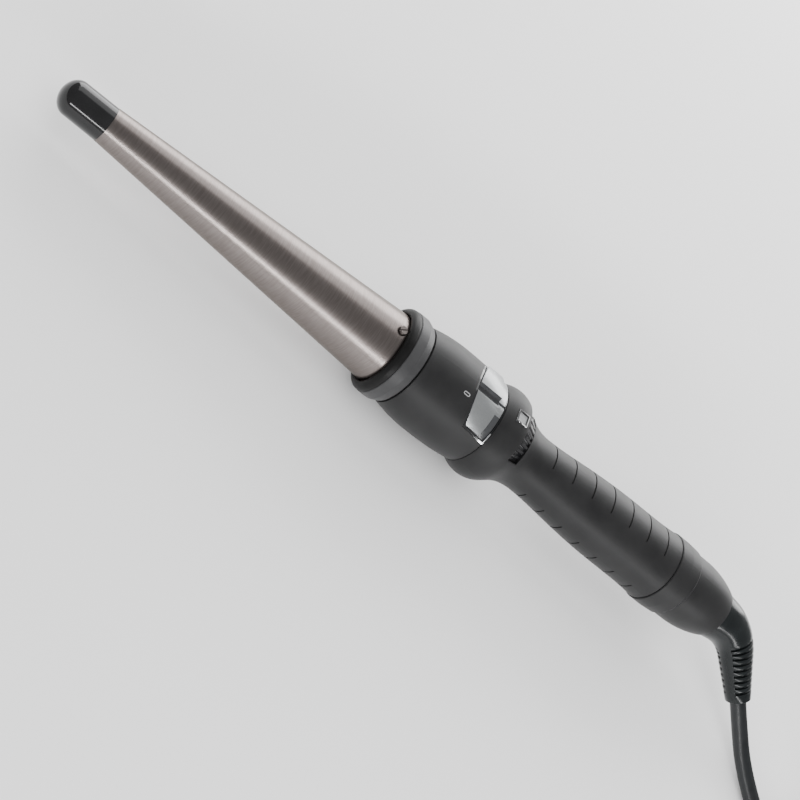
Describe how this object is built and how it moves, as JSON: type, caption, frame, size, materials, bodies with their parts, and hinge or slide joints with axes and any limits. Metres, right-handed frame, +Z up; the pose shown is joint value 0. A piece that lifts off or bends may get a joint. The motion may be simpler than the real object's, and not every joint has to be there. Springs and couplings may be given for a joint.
{
  "type": "curling wand",
  "caption": "Conical curling wand: tapered metal barrel with cool tip, hand guard, rocker switch, heat dial, grooved grip and swivel cord with plug.",
  "frame": {"origin": "under the middle of the wand, without its cord, on the surface that it lies on", "axes": "+X from the tip towards the handle, +Z up through the controls; the wand lies 1.6 degrees tip down"},
  "size_m": [0.5799, 0.0959, 0.0385],
  "materials": {
    "tip_plastic": "glossy heat-insulating plastic",
    "barrel_metal": "satin warm-grey ceramic and metal coating on an aluminium tube",
    "steel": "plain steel",
    "ceramic": "fired ceramic",
    "aluminium": "extruded aluminium",
    "inner_wire": "silicone insulation",
    "heat_plastic": "heat-proof moulded plastic",
    "soft_touch": "soft-touch lacquer on moulded plastic",
    "gloss_black": "glossy moulded plastic",
    "bright_trim": "bright plating",
    "clear_lens": "clear moulded window",
    "board_green": "printed circuit board",
    "contact_brass": "nickelled brass",
    "silver_rocker": "silver lacquer on moulded plastic",
    "drum_grey": "light grey moulded plastic",
    "cord_rubber": "smooth flexible cable sheath",
    "tie_plastic": "woven strap"
  },
  "bodies": {
    "wand": {"cool_tip": "tip_plastic", "barrel": "barrel_metal", "barrel_screws": "steel", "heater_plate": "ceramic", "heat_spreader_upper": "aluminium", "heat_spreader_lower": "aluminium", "spreader_clips": "steel", "thermistor": "ceramic", "thermal_fuse": "steel", "heater_leads": "inner_wire", "barrel_seat": "heat_plastic", "guard_lip": "heat_plastic", "guard_band": "soft_touch", "head_shell": "soft_touch", "rocker_bezel": "gloss_black", "rocker_trim": "bright_trim", "switch_module": "gloss_black", "rocker_pin": "steel", "switch_wires": "inner_wire", "chassis": "heat_plastic", "potentiometer": "gloss_black", "window_frame": "bright_trim", "window_lens": "clear_lens", "circuit_board": "board_green", "board_parts": "gloss_black", "mains_wires": "inner_wire", "grip_upper": "soft_touch", "grip_lower": "soft_touch", "case_screws": "steel", "end_cap": "soft_touch", "brush_holder": "heat_plastic", "contact_springs": "contact_brass"},
    "rocker": {"rocker": "silver_rocker"},
    "dial": {"dial_wheel": "gloss_black", "number_drum": "drum_grey", "dial_shaft": "heat_plastic"},
    "swivel": {"swivel_core": "heat_plastic", "slip_rings": "contact_brass", "swivel_sleeve": "cord_rubber", "cord": "cord_rubber", "cord_tail": "cord_rubber", "cord_coil": "cord_rubber", "cord_tie": "tie_plastic", "plug_body": "cord_rubber", "plug_relief": "cord_rubber", "plug_pins": "contact_brass", "plug_pin_covers": "heat_plastic"}
  },
  "joints": [
    {"name": "rocker_tilt", "type": "hinge", "parent": "wand", "child": "rocker", "pos_m": [0.01215, 0, 0.03054], "axis": [0.9996, 0, 0.0282], "range_deg": [-7, 0]},
    {"name": "dial_turn", "type": "hinge", "parent": "wand", "child": "dial", "pos_m": [0.03828, 0, 0.02267], "axis": [0.9996, 0, 0.0282], "range_deg": [0, 270]},
    {"name": "cord_swivel", "type": "hinge", "parent": "wand", "child": "swivel", "pos_m": [0.16113, 0, 0.02274], "axis": [0.9996, 0, 0.0282], "continuous": true}
  ]
}
